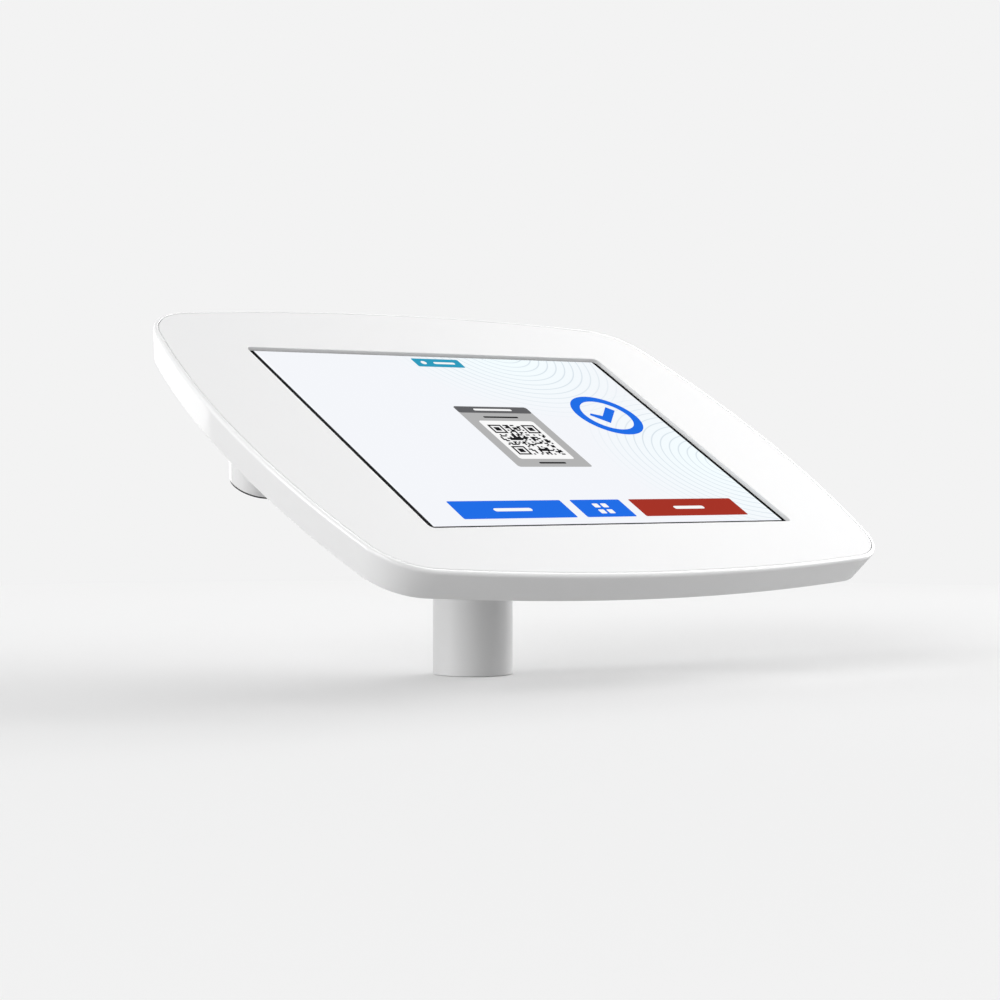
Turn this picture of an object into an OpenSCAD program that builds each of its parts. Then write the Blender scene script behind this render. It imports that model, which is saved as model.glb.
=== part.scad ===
// Counter kiosk stand for a ten inch tablet, on a round swivel post.
// Millimetres, +Z up, +X to the user's right, +Y away from the user.
// The origin is on the post's axis, on the counter top.

/* [Tablet] */
// Long side of the lit screen
display_w = 207.8; // [180:0.1:240]
// Short side of the lit screen
display_h = 155.9; // [130:0.1:180]
// Tablet beyond the lit screen on the left and right
glass_side = 21.4; // [18:0.1:30]
// Tablet beyond the lit screen at the front and rear
glass_end = 9.1; // [8:0.1:20]
// Thickness of the tablet
tablet_t = 7.5; // [6:0.1:10]
// Corner radius of the tablet
tablet_r = 9; // [6:0.5:14]
// Shift of the tablet to the right of the window's centre
tablet_dx = 1.5; // [0:0.1:2]
// Shift of the tablet up the slope from the window's centre
tablet_dy = 2.2; // [0:0.1:2.5]
// Stroke of the sleep and volume keys
key_travel = 0.4; // [0.2:0.1:0.6]

/* [Face] */
// Slope of the face from level
tilt = 30; // [20:1:40]
// Distance of the face centre in front of the post axis
face_y = 36.7; // [20:0.1:45]
// Height of the face centre above the counter
face_z = 113.7; // [100:0.1:160]
// Tray beyond the tablet on the left and right
side_border = 34.05; // [32:0.05:50]
// Tray beyond the tablet at the front and rear
end_border = 35.3; // [28:0.05:50]
// Radius of the bowed left and right sides
side_bow_r = 410; // [350:1:700]
// Radius of the bowed front and rear ends
end_bow_r = 980; // [700:1:990]
// Radius of the four corners
corner_r = 29.6; // [20:0.1:40]
// Foam between the tablet and the tray's floor
pad_t = 3.6; // [3.2:0.1:8]
// Slope of the tray's side wall and of the lock boss
draft = 17.3; // [8:0.1:20]
// Wall of the tray
tray_wall = 3; // [2.5:0.1:4]
// Floor of the tray
tray_floor = 2.6; // [2.4:0.1:4]
// Width of the rim that stands round the faceplate
rim_w = 2; // [1.5:0.1:2.4]
// Bevel along the outer edge of the rim
rim_bevel = 1.2; // [0.6:0.1:1.4]

/* [Faceplate] */
// Thickness of the faceplate
plate_t = 2; // [1.6:0.1:3]
// Seam between the faceplate and the rim
plate_gap = 0.25; // [0.15:0.05:0.4]
// Bevel along the top edge of the faceplate
plate_bevel = 0.8; // [0.3:0.1:1.2]
// Window beyond the lit screen on the left and right
window_side = 3.1; // [1:0.05:5]
// Window beyond the lit screen at the front and rear
window_end = 2.75; // [1:0.05:3]
// Corner radius of the window
window_r = 2.5; // [1:0.1:6]
// Air between the faceplate and the tablet's glass
glass_gap = 0.1; // [0.05:0.05:0.3]

/* [Lock] */
// Height of the lock boss below the tray
boss_h = 10.2; // [6:0.1:16]
// Radius of the lock boss at its end
boss_r = 11.7; // [10:0.1:14]
// Radius of the lock barrel
barrel_r = 6; // [5.6:0.1:7]
// Step from the edge of the boss in to the lock's face flange
flange_step = 0.4; // [0.2:0.1:2]
// Reach of the lock cam from the lock axis
cam_reach = 13.2; // [12:0.1:16]

/* [Post] */
// Outside diameter of the post tube
post_d = 38; // [36:0.5:50]
// Wall of the post tube
post_wall = 2; // [1.5:0.1:2.5]
// Air between the foot of the turning tube and the counter
foot_gap = 0.2; // [0.2:0.1:1.5]
// Thickness of the plate welded across the top of the post
head_plate_t = 4; // [3:0.5:8]
// Width of the head plate across the face
head_plate_w = 92; // [70:1:140]
// Depth of the head plate up the slope
head_plate_h = 76; // [60:1:100]

/* [Swivel] */
// Radius of the fixed spigot inside the post
spigot_r = 11; // [10:0.1:12]
// Height of the spigot above the counter
spigot_h = 66; // [60:1:76]
// Height of the spigot's flange
flange_h = 14; // [12:0.5:18]
// Radius of the cable bore through the spigot
cable_r = 6; // [4:0.1:7]
// Metal between the tapped holes and the edge of the foot
bolt_edge = 2.1; // [1.5:0.1:3]
// Radius of the tapped holes, M6
bolt_r = 2.5; // [2:0.05:2.6]
// Angle of the stop between the ends of the swivel's slot
stop_land = 15; // [10:1:180]

/* [Hidden] */
// Finish of curves
fine = 96;
coarse = 48;

// Clearances
run_gap = 0.06;
seat_gap = 0.02;
thrust_gap = 0.1;
slot_gap = 0.15;
drop_gap = 0.3;
side_gap = 0.4;
over = 1;

// Colours
white = [0.93, 0.93, 0.93];
steel = [0.66, 0.67, 0.69];
metal = [0.74, 0.75, 0.77];
dark = [0.06, 0.06, 0.07];
foam = [0.16, 0.16, 0.17];
board_green = [0.1, 0.3, 0.18];
screen_blue = [0.9, 0.94, 1];

// Levels, measured along the outward normal of the face
glass_t = 0.7;
panel_t = 1.5;
glass_z = -plate_t - glass_gap;
under_glass = glass_z - glass_t;
back_z = glass_z - tablet_t;
floor_z = back_z - pad_t;
tray_z = floor_z - tray_floor;
boss_z = tray_z - boss_h;
plate_z = tray_z - head_plate_t;

// Bowed outline
tablet_w = display_w + 2 * glass_side;
tablet_h = display_h + 2 * glass_end;
half_w = tablet_w / 2 + side_border;
half_h = tablet_h / 2 + end_border;
side_c = [half_w - side_bow_r, 0];
end_c = [0, half_h - end_bow_r];
side_reach = side_bow_r - corner_r;
end_reach = end_bow_r - corner_r;
bow_span = norm(end_c - side_c);
bow_dir = (end_c - side_c) / bow_span;
bow_norm = [-bow_dir[1], bow_dir[0]];
bow_along = (side_reach * side_reach - end_reach * end_reach + bow_span * bow_span) / (2 * bow_span);
bow_off = sqrt(side_reach * side_reach - bow_along * bow_along);
corner_c = side_c + bow_along * bow_dir + bow_off * bow_norm;
side_dir = (corner_c - side_c) / side_reach;
end_dir = (corner_c - end_c) / end_reach;
sector_reach = 3 * corner_r;
corner_proud = 0.02;

// Tray and faceplate
plate_in = rim_w + plate_gap;
cavity_top = under_glass / 2;
cradle_in = cavity_in(floor_z) + side_gap;
window_w = display_w + 2 * window_side;
window_h = display_h + 2 * window_end;
gasket_in = 0.5;
gasket_w = 2.2;
gasket_t = 0.4;

// Tablet
tablet_left = tablet_dx - tablet_w / 2;
tablet_right = tablet_dx + tablet_w / 2;
tablet_rear = tablet_dy + tablet_h / 2;
shell_wall = 2.4;
shell_top = glass_z - drop_gap;
back_t = 0.9;
inside_z = back_z + back_t;
glass_in = 1.2;
port_len = 8.6;
port_w = 3;
part_gap = 4;
board_w = 34;
board_t = 1.2;
cell_t = 2.6;
cell_w = (tablet_w - 2 * shell_wall - board_w - 4 * part_gap) / 2;
inner_h = tablet_h - 2 * shell_wall - 2 * part_gap;
inner_r = 2;

// Keys
key_w = 1.8;
key_z = (back_z + shell_top) / 2;
key_proud = key_travel + thrust_gap;
key_flange_t = 0.8;
key_lip = 0.8;
key_room = 4;
sleep_len = 10;
sleep_from_rear = 24;
sleep_v = tablet_rear - sleep_from_rear;
volume_len = 11;
volume_pitch = 16;
volume_from_left = 40;
volume_up_u = tablet_left + volume_from_left;
volume_down_u = volume_up_u + volume_pitch;
home_u = tablet_right - glass_side / 2;
home_room = 1.3;
home_lip = 1.4;
home_flange_r = glass_side / 2 - shell_wall - home_room;
home_r = home_flange_r - home_lip;

// Lock and keeper
cam_room = 2.5;
room_wall = 1;
lock_u = tablet_left - cam_room - cam_reach;
barrel_flat = barrel_r - 0.7;
nut_t = 3.6;
nut_af = 2 * barrel_r + 2;
barrel_z = floor_z + nut_t + 0.8;
lock_flange_r = boss_r - flange_step;
lock_flange_t = 0.7;
lock_z = boss_z - lock_flange_t;
plug_r = barrel_r - 1.8;
plug_head_r = barrel_r - 0.8;
plug_head_t = 2;
keyway_r = plug_r - 0.8;
keyway_w = 1.2;
keyway_depth = 6;
tail_shy = 0.94;
tail_w = plug_r * sqrt(2) - tail_shy;
cam_t = 1.6;
cam_w = 8;
cam_tip_r = 1.5;
cam_z = barrel_z + thrust_gap;
cam_screw_r = 1.25;
cam_screw_len = 3.5;
cam_head_r = 3.8;
cam_head_t = 1.6;
sheet = 1.5;
keeper_w = cam_w + 4;
keeper_foot = 14;
keeper_v = cam_reach + over;
keeper_z = cam_z - side_gap - sheet;
keeper_lip = cam_reach - nut_af / 2 / cos(30) - side_gap;

// Hooks opposite the lock
hook_v = 46;
hook_w = 16;
hook_foot = 12;
hook_lip = 3.5;
hook_z = under_glass - 6.2;
hook_end = side_u(hook_v + hook_w / 2) - cavity_in(hook_z) - side_gap;
hook_u = hook_end - hook_lip - sheet;
lug_t = 2.4;
lug_w = hook_w + 6;
lug_z = hook_z + sheet + drop_gap;
lug_u = hook_u + sheet + side_gap;

// Post and head
post_r = post_d / 2;
bore_r = post_r - post_wall;
post_v = face_y * cos(tilt) + (tray_z + face_y * sin(tilt)) * tan(tilt);
head_plate_r = 10;
screw_edge_u = 12;
screw_edge_v = 10;
screw_u = head_plate_w / 2 - screw_edge_u;
screw_v = head_plate_h / 2 - screw_edge_v;
screw_r = 2.45;
screw_head_r = 4.6;
screw_head_t = 2.2;
screw_top = floor_z - slot_gap;
screw_key_r = 1.7;
grommet_bore = 7;
grommet_r = 10.5;
grommet_lip = 2;
grommet_lip_t = 1.2;
lead_w = 12;
plug_room = 10;

// Swivel
foot_r = bore_r - side_gap;
bolt_circle = 2 * (foot_r - bolt_edge - bolt_r);
pin_r = (bore_r - spigot_r) / 4;
pin_depth = 8;
pin_rise = 4;
pin_circle = (spigot_r + bore_r) / 2;
washer_t = 1.5;
bush_z = flange_h + washer_t + thrust_gap;
bush_h = 16;
upper_bush_h = 12;
upper_bush_z = spigot_h - upper_bush_h - 6;
spring_t = 1.2;
spring_sheet = 0.6;
spring_z = upper_bush_z + upper_bush_h + thrust_gap;
ring_t = 1.1;
ring_w = 3.2;
ring_slot = 4;
ring_bite = 1;
ring_z = spring_z + spring_t + thrust_gap;
groove_span = 360 - stop_land;
groove_h = pin_rise + 1.5;

// Inset of the tray's inner wall at a level below the face.
function cavity_in(z) = tray_wall - (z + rim_bevel) * tan(draft);

// Half width of the bowed outline at a distance up or down the slope.
function side_u(v) = half_w - side_bow_r + sqrt(side_bow_r * side_bow_r - v * v);

// Places children on the face: x to the right, y up the slope, z out of the face.
module on_face() {
    translate([0, -face_y, face_z])
        rotate([tilt, 0, 0])
            children();
}

// Places children on the lock axis, in the face's own directions.
module on_lock() {
    on_face()
        translate([lock_u, 0, 0])
            children();
}

// Repeats children in all four quarters of the face.
module quarters() {
    for (mx = [0, 1])
        for (my = [0, 1])
            mirror([mx, 0, 0])
                mirror([0, my, 0])
                    children();
}

// Repeats children at four points about a centre.
module four_points(u, v) {
    for (sx = [-1, 1])
        for (sy = [-1, 1])
            translate([sx * u, sy * v, 0])
                children();
}

// Cylinder that starts at a level.
module disc(z, h, r, sides = fine) {
    translate([0, 0, z])
        cylinder(h = h, r = r, $fn = sides);
}

// Flat rectangle with rounded corners, centred.
module round_rect(w, h, r) {
    square([w - 2 * r, h], center = true);
    square([w, h - 2 * r], center = true);
    four_points(w / 2 - r, h / 2 - r)
        circle(r = r, $fn = coarse);
}

// Plate with rounded corners that starts at a level.
module round_plate(z, t, w, h, r) {
    translate([0, 0, z])
        linear_extrude(t)
            round_rect(w, h, r);
}

// The sector that one corner arc fills, in the first quarter.
module corner_sector() {
    polygon([
        corner_c,
        corner_c + sector_reach * side_dir,
        corner_c + sector_reach * (side_dir + end_dir),
        corner_c + sector_reach * end_dir
    ]);
}

// Half section of a slab about x = 0. It is widest at reach - inset, leans in below by
// slope and is bevelled along its top.
module edge_section(reach, low, high, inset, slope, bevel) {
    wide = reach - inset;
    foot = wide - (high - bevel - low) * tan(slope);
    shoulder = bevel > 0 ? [[wide, high - bevel], [wide - bevel, high]] : [[wide, high]];
    polygon(concat([[0, low], [foot, low]], shoulder, [[0, high]]));
}

// Slab of that section turned about one arc centre.
module edge_turn(centre, reach, low, high, inset, slope, bevel) {
    translate([centre[0], centre[1], 0])
        rotate_extrude($fn = 4 * fine)
            edge_section(reach, low, high, inset, slope, bevel);
}

// Slab with the bowed outline of the face, inset at its widest and leaning in below.
// Every side and corner is a true arc. The corners stand proud by a hair, to cross the sides.
module bowed_slab(low, high, inset, slope = 0, bevel = 0) {
    intersection() {
        edge_turn(side_c, side_bow_r, low, high, inset, slope, bevel);
        edge_turn(-side_c, side_bow_r, low, high, inset, slope, bevel);
        edge_turn(end_c, end_bow_r, low, high, inset, slope, bevel);
        edge_turn(-end_c, end_bow_r, low, high, inset, slope, bevel);
        translate([0, 0, low])
            linear_extrude(high - low)
                difference() {
                    square([2 * half_w + corner_r, 2 * half_h + corner_r], center = true);
                    quarters()
                        corner_sector();
                }
    }
    quarters()
        edge_turn(corner_c, corner_r + corner_proud, low, high, inset, slope, bevel);
}

// Fixed spigot that stands on the counter inside the post.
module base_spigot() {
    color(steel)
        difference() {
            union() {
                disc(0, flange_h, foot_r);
                disc(0, spigot_h - ring_bite, spigot_r);
                translate([0, 0, spigot_h - ring_bite])
                    cylinder(h = ring_bite, r1 = spigot_r, r2 = spigot_r - ring_bite, $fn = fine);
            }
            disc(-over, spigot_h + 2 * over, cable_r);
            for (a = [90, 210, 330])
                rotate([0, 0, a])
                    translate([bolt_circle / 2, 0, 0])
                        disc(-over, flange_h - over, bolt_r, coarse);
            translate([0, -pin_circle, 0])
                disc(flange_h - pin_depth, pin_depth + over, pin_r + seat_gap, coarse);
            difference() {
                disc(ring_z - seat_gap, ring_t + 2 * seat_gap, spigot_r + over);
                disc(ring_z - over, ring_t + 2 * over, spigot_r - ring_bite);
            }
        }
}

// Thrust washer that carries the turning head.
module thrust_washer() {
    color(dark)
        difference() {
            disc(flange_h, washer_t, foot_r - slot_gap);
            disc(flange_h - over, washer_t + 2 * over, spigot_r + slot_gap);
            translate([0, -pin_circle, 0])
                disc(flange_h - over, washer_t + 2 * over, pin_r + slot_gap, coarse);
        }
}

// Dowel that limits the swivel.
module stop_pin() {
    color(steel)
        translate([0, -pin_circle, 0])
            disc(flange_h - pin_depth, pin_depth + washer_t + pin_rise, pin_r, coarse);
}

// Cupped washer that takes up the end play of the swivel.
module spring_washer() {
    inner = spigot_r + slot_gap;
    outer = bore_r - ring_w / 2;
    color(steel)
        translate([0, 0, spring_z])
            rotate_extrude($fn = fine)
                polygon([
                    [inner, spring_t - spring_sheet],
                    [outer, 0],
                    [outer, spring_sheet],
                    [inner, spring_t]
                ]);
}

// Snap ring in the spigot's groove, open on one side.
module retaining_ring() {
    color(steel)
        difference() {
            disc(ring_z, ring_t, spigot_r + ring_w);
            disc(ring_z - over, ring_t + 2 * over, spigot_r - ring_bite + seat_gap);
            translate([-ring_slot / 2, 0, ring_z - over])
                cube([ring_slot, post_r, ring_t + 2 * over]);
        }
}

// Round post, cut off along the slope of the head plate.
module post_tube() {
    tall = face_z + post_d;
    color(white)
        difference() {
            disc(foot_gap, tall, post_r);
            disc(0, tall + post_d, bore_r);
            on_face()
                translate([-post_d, post_v - 2 * post_d, plate_z])
                    cube([2 * post_d, 4 * post_d, tall]);
        }
}

// Plain bush between the post and the spigot.
module bush(z, h) {
    difference() {
        disc(z, h, bore_r - seat_gap);
        disc(z - over, h + 2 * over, spigot_r + run_gap);
    }
}

// Lower bush, with the curved slot that runs over the stop pin.
module lower_bush() {
    color(dark)
        difference() {
            bush(bush_z, bush_h);
            translate([0, 0, bush_z - over])
                rotate([0, 0, -90 - groove_span / 2])
                    rotate_extrude(angle = groove_span, $fn = fine)
                        translate([pin_circle - pin_r - drop_gap, 0])
                            square([2 * (pin_r + drop_gap), groove_h + over]);
        }
}

// Upper bush.
module upper_bush() {
    color(dark)
        bush(upper_bush_z, upper_bush_h);
}

// Plate welded across the top of the post.
module head_plate() {
    color(white)
        on_face()
            translate([0, post_v, 0])
                difference() {
                    round_plate(plate_z, head_plate_t, head_plate_w, head_plate_h, head_plate_r);
                    disc(plate_z - over, head_plate_t + 2 * over, grommet_r + side_gap);
                    four_points(screw_u, screw_v)
                        disc(plate_z - over, head_plate_t + 2 * over, screw_r + run_gap, coarse);
                }
}

// Countersunk screw from a level up to its flat top, grown by a clearance.
module screw_form(low, grow) {
    disc(low, screw_top - low, screw_r + grow, coarse);
    translate([0, 0, screw_top - screw_head_t])
        cylinder(h = screw_head_t, r1 = screw_r + grow, r2 = screw_head_r + grow, $fn = coarse);
}

// Four countersunk screws from inside the tray down into the head plate.
module head_screws() {
    color(steel)
        on_face()
            translate([0, post_v, 0])
                four_points(screw_u, screw_v)
                    difference() {
                        screw_form(plate_z + side_gap, 0);
                        disc(screw_top - screw_head_t / 2, screw_head_t, screw_key_r, 6);
                    }
}

// Round body with two flats, as the lock barrel has.
module barrel_body(z, h, grow) {
    translate([0, 0, z])
        linear_extrude(h)
            intersection() {
                circle(r = barrel_r + grow, $fn = fine);
                square([2 * (barrel_flat + grow), 3 * barrel_r], center = true);
            }
}

// Lug over one hook, to be left standing in the tray.
module hook_lugs() {
    for (side = [-1, 1])
        translate([lug_u, side * hook_v - lug_w / 2, lug_z])
            cube([side_border, lug_w, lug_t]);
}

// Moulded tray with sloped walls, a rim, a ledge, two lugs and a hollow lock boss.
module rear_tray() {
    boss_top = boss_h + over;
    boss_top_r = boss_r + boss_top * tan(draft);
    color(white)
        on_face()
            difference() {
                union() {
                    bowed_slab(tray_z, 0, 0, draft, rim_bevel);
                    translate([lock_u, 0, boss_z])
                        cylinder(h = boss_top, r1 = boss_r, r2 = boss_top_r, $fn = fine);
                }
                bowed_slab(-plate_t, over, rim_w);
                difference() {
                    bowed_slab(floor_z, cavity_top, cavity_in(cavity_top), draft);
                    hook_lugs();
                }
                translate([lock_u, 0, 0])
                    barrel_body(boss_z - over, floor_z - boss_z + 2 * over, slot_gap);
                translate([0, post_v, 0]) {
                    disc(tray_z - over, tray_floor + 2 * over, grommet_r + thrust_gap);
                    four_points(screw_u, screw_v) {
                        screw_form(tray_z - over, slot_gap);
                        disc(screw_top, over, screw_head_r + slot_gap, coarse);
                    }
                }
            }
}

// Rubber grommet where the tablet's lead comes up into the tray.
module cable_grommet() {
    lip_z = floor_z + grommet_lip_t;
    color(dark)
        on_face()
            translate([0, post_v, 0])
                rotate_extrude($fn = fine)
                    polygon([
                        [grommet_bore, tray_z],
                        [grommet_r, tray_z],
                        [grommet_r, floor_z],
                        [grommet_r + grommet_lip, floor_z],
                        [grommet_r + grommet_lip, lip_z],
                        [grommet_bore, lip_z]
                    ]);
}

// Room in the foam for the lock, its cam and the keeper.
module lock_room() {
    near = lock_u - half_w;
    translate([near, -cam_reach - key_room, floor_z - over])
        cube([tablet_left - room_wall - near, 2 * cam_reach + keeper_foot + 3 * key_room, -floor_z]);
}

// Foam insert that carries the tablet, with room for the lock, hooks, keys and lead.
module foam_cradle() {
    tall = -floor_z;
    hook_room = hook_foot + 2 * hook_lip;
    color(foam)
        on_face()
            difference() {
                bowed_slab(floor_z, shell_top, cradle_in);
                translate([tablet_dx, tablet_dy, 0])
                    round_plate(back_z, tall, tablet_w + 2 * drop_gap, tablet_h + 2 * drop_gap, tablet_r);
                lock_room();
                for (side = [-1, 1])
                    translate([hook_end - hook_room, side * hook_v - lug_w / 2 - over, floor_z - over])
                        cube([side_border, lug_w + 2 * over, tall]);
                translate([tablet_left - key_room, sleep_v - sleep_len / 2 - key_room, back_z])
                    cube([2 * key_room, sleep_len + 2 * key_room, tall]);
                translate([volume_up_u - volume_len / 2 - key_room, tablet_rear - key_room, back_z])
                    cube([volume_pitch + volume_len + 2 * key_room, 2 * key_room, tall]);
                translate([0, post_v, 0])
                    disc(floor_z - over, tall, grommet_r + grommet_lip + side_gap);
                translate([0, post_v - lead_w / 2, floor_z - over])
                    cube([tablet_right + plug_room, lead_w, pad_t + 2 * over]);
                translate([tablet_right - over, tablet_dy - lead_w / 2, floor_z - over])
                    cube([plug_room + over, post_v - tablet_dy + lead_w, tall]);
            }
}

// Flat ring of the gasket round the window.
module gasket_ring(z, t, grow) {
    inner = gasket_in - grow;
    outer = gasket_in + gasket_w + grow;
    difference() {
        round_plate(z, t, window_w + 2 * outer, window_h + 2 * outer, window_r + outer);
        round_plate(z - over, t + 2 * over, window_w + 2 * inner, window_h + 2 * inner, window_r + inner);
    }
}

// Flat faceplate with the screen window, and a groove below for the gasket.
module faceplate() {
    color(white)
        on_face()
            difference() {
                bowed_slab(-plate_t, 0, plate_in, 0, plate_bevel);
                round_plate(-plate_t - over, plate_t + 2 * over, window_w, window_h, window_r);
                gasket_ring(-plate_t - over, over + gasket_t - glass_gap, thrust_gap);
            }
}

// Foam gasket between the faceplate and the glass.
module screen_gasket() {
    color(dark)
        on_face()
            gasket_ring(glass_z, gasket_t, 0);
}

// Two folded tabs under the faceplate's right side, hooked below lugs in the tray.
module hook_tabs() {
    color(steel)
        on_face()
            for (side = [-1, 1])
                translate([hook_u, side * hook_v - hook_w / 2, 0]) {
                    translate([sheet - hook_foot, 0, -plate_t - sheet])
                        cube([hook_foot, hook_w, sheet]);
                    translate([0, 0, hook_z])
                        cube([sheet, hook_w, -plate_t - hook_z]);
                    translate([0, 0, hook_z])
                        cube([sheet + hook_lip, hook_w, sheet]);
                }
}

// Folded keeper under the faceplate's left side, caught by the lock cam.
module latch_keeper() {
    color(steel)
        on_lock()
            translate([-keeper_w / 2, keeper_v, 0]) {
                translate([0, 0, -plate_t - sheet])
                    cube([keeper_w, keeper_foot, sheet]);
                translate([0, 0, keeper_z])
                    cube([keeper_w, sheet, -plate_t - keeper_z]);
                translate([0, -keeper_lip, keeper_z])
                    cube([keeper_w, keeper_lip + sheet, sheet]);
            }
}

// Flat-ended bar along the outward direction x, from one depth to another.
module key_bar(from, to, len, w, r) {
    rotate([90, 0, 90])
        round_plate(from, to - from, len, w, r);
}

// Slot for one edge key.
module key_slot(len) {
    w = key_w + 2 * slot_gap;
    key_bar(-shell_wall - over, over, len + 2 * slot_gap, w, w / 2 - seat_gap);
}

// One edge key with its inner flange.
module edge_key(len) {
    stop = -shell_wall - thrust_gap;
    key_bar(stop, key_proud, len, key_w, key_w / 2 - seat_gap);
    key_bar(stop - key_flange_t, stop, len + 2 * key_lip, key_w + 2 * key_lip, key_lip);
}

// Places children at the sleep key, x pointing out of the tablet.
module at_sleep_key() {
    on_face()
        translate([tablet_left, sleep_v, key_z])
            rotate([0, 0, 180])
                children();
}

// Places children at a volume key, x pointing out of the tablet.
module at_volume_key(u) {
    on_face()
        translate([u, tablet_rear, key_z])
            rotate([0, 0, 90])
                children();
}

// Plate of the tablet's outline, drawn in by an inset.
module tablet_plate(z, t, inset) {
    translate([tablet_dx, tablet_dy, 0])
        round_plate(z, t, tablet_w - 2 * inset, tablet_h - 2 * inset, tablet_r - inset);
}

// Thin metal shell of the tablet, with its key slots and port.
module tablet_housing() {
    color(metal)
        difference() {
            on_face()
                tablet_plate(back_z, shell_top - back_z, 0);
            on_face() {
                tablet_plate(under_glass, tablet_t, glass_in - thrust_gap);
                tablet_plate(inside_z, tablet_t, shell_wall);
                translate([tablet_right, tablet_dy, key_z])
                    key_bar(-shell_wall - over, over, port_len, port_w, port_w / 2 - seat_gap);
            }
            at_sleep_key()
                key_slot(sleep_len);
            at_volume_key(volume_up_u)
                key_slot(volume_len);
            at_volume_key(volume_down_u)
                key_slot(volume_len);
        }
}

// Cover glass of the tablet.
module tablet_glass() {
    color(dark)
        on_face()
            difference() {
                tablet_plate(under_glass, glass_t, glass_in);
                translate([home_u, tablet_dy, 0])
                    disc(under_glass - over, glass_t + 2 * over, home_r + drop_gap);
            }
}

// Lit panel bonded under the glass.
module display_panel() {
    color(screen_blue)
        on_face()
            translate([tablet_dx - display_w / 2, tablet_dy - display_h / 2, under_glass - panel_t])
                cube([display_w, display_h, panel_t]);
}

// Two flat cells on the tablet's back.
module battery_cells() {
    color(dark)
        on_face()
            for (n = [0, 1])
                translate([
                    tablet_right - shell_wall - part_gap - cell_w / 2 - n * (cell_w + part_gap),
                    tablet_dy,
                    0
                ])
                    round_plate(inside_z, cell_t, cell_w, inner_h, inner_r);
}

// Circuit board beside the cells.
module logic_board() {
    color(board_green)
        on_face()
            translate([tablet_left + shell_wall + part_gap + board_w / 2, tablet_dy, 0])
                round_plate(inside_z, board_t, board_w, inner_h, inner_r);
}

// Sleep key on the tablet's left edge.
module sleep_button() {
    color(metal)
        at_sleep_key()
            edge_key(sleep_len);
}

// Volume up key on the tablet's rear edge.
module volume_up_button() {
    color(metal)
        at_volume_key(volume_up_u)
            edge_key(volume_len);
}

// Volume down key on the tablet's rear edge.
module volume_down_button() {
    color(metal)
        at_volume_key(volume_down_u)
            edge_key(volume_len);
}

// Round home key in the tablet's right border.
module home_button() {
    stop = under_glass - thrust_gap;
    color(dark)
        on_face()
            translate([home_u, tablet_dy, 0]) {
                disc(stop - key_flange_t, key_flange_t, home_flange_r);
                disc(stop, shell_top - stop, home_r);
            }
}

// Fixed body of the cam lock.
module lock_barrel() {
    color(dark)
        on_lock()
            difference() {
                union() {
                    barrel_body(boss_z, barrel_z - boss_z, 0);
                    disc(lock_z, lock_flange_t, lock_flange_r);
                }
                disc(lock_z - over, barrel_z - lock_z + 2 * over, plug_r + run_gap);
                disc(lock_z - over, plug_head_t + over, plug_head_r + run_gap);
            }
}

// Hexagon nut that clamps the lock in the tray.
module lock_nut() {
    color(steel)
        on_lock()
            difference() {
                disc(floor_z, nut_t, nut_af / 2 / cos(30), 6);
                barrel_body(floor_z - over, nut_t + 2 * over, seat_gap);
            }
}

// Turning plug with a ring-shaped keyway and a square tail.
module lock_plug() {
    color(dark)
        on_lock()
            difference() {
                union() {
                    disc(lock_z, plug_head_t - thrust_gap, plug_head_r);
                    disc(lock_z, barrel_z - lock_z, plug_r);
                    translate([-tail_w / 2, -tail_w / 2, barrel_z - over])
                        cube([tail_w, tail_w, cam_z + cam_t - barrel_z + over]);
                }
                difference() {
                    disc(lock_z - over, keyway_depth + over, keyway_r);
                    disc(lock_z - over, keyway_depth + 2 * over, keyway_r - keyway_w);
                }
                translate([-keyway_w / 2, 0, lock_z - over])
                    cube([keyway_w, plug_r, plug_head_t + over]);
                disc(barrel_z - cam_screw_len - drop_gap, tablet_t, cam_screw_r + seat_gap, coarse);
            }
}

// Cam on the plug's tail, pointing up the slope when locked.
module lock_cam() {
    color(steel)
        on_lock()
            translate([0, 0, cam_z])
                linear_extrude(cam_t)
                    difference() {
                        union() {
                            circle(r = cam_w / 2 + over, $fn = coarse);
                            translate([0, cam_reach / 2])
                                round_rect(cam_w, cam_reach, cam_tip_r);
                        }
                        square(tail_w + 2 * seat_gap, center = true);
                    }
}

// Screw that holds the cam on the plug.
module cam_screw() {
    top = cam_z + cam_t;
    color(steel)
        on_lock()
            difference() {
                union() {
                    disc(barrel_z - cam_screw_len, top - barrel_z + cam_screw_len, cam_screw_r, coarse);
                    disc(top, cam_head_t, cam_head_r, coarse);
                }
                translate([-cam_head_r - over, -cam_head_t / 4, top + cam_head_t / 2])
                    cube([2 * (cam_head_r + over), cam_head_t / 2, cam_head_t]);
            }
}

base_spigot();
thrust_washer();
stop_pin();
spring_washer();
retaining_ring();
post_tube();
lower_bush();
upper_bush();
head_plate();
head_screws();
rear_tray();
cable_grommet();
foam_cradle();
faceplate();
screen_gasket();
hook_tabs();
latch_keeper();
tablet_housing();
tablet_glass();
display_panel();
battery_cells();
logic_board();
sleep_button();
volume_up_button();
volume_down_button();
home_button();
lock_barrel();
lock_nut();
lock_plug();
lock_cam();
cam_screw();
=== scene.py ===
"""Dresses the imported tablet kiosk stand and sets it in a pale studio."""

import logging
import math
from collections.abc import Iterable, Sequence
from dataclasses import dataclass, field
from enum import Enum
from typing import Any

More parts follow.
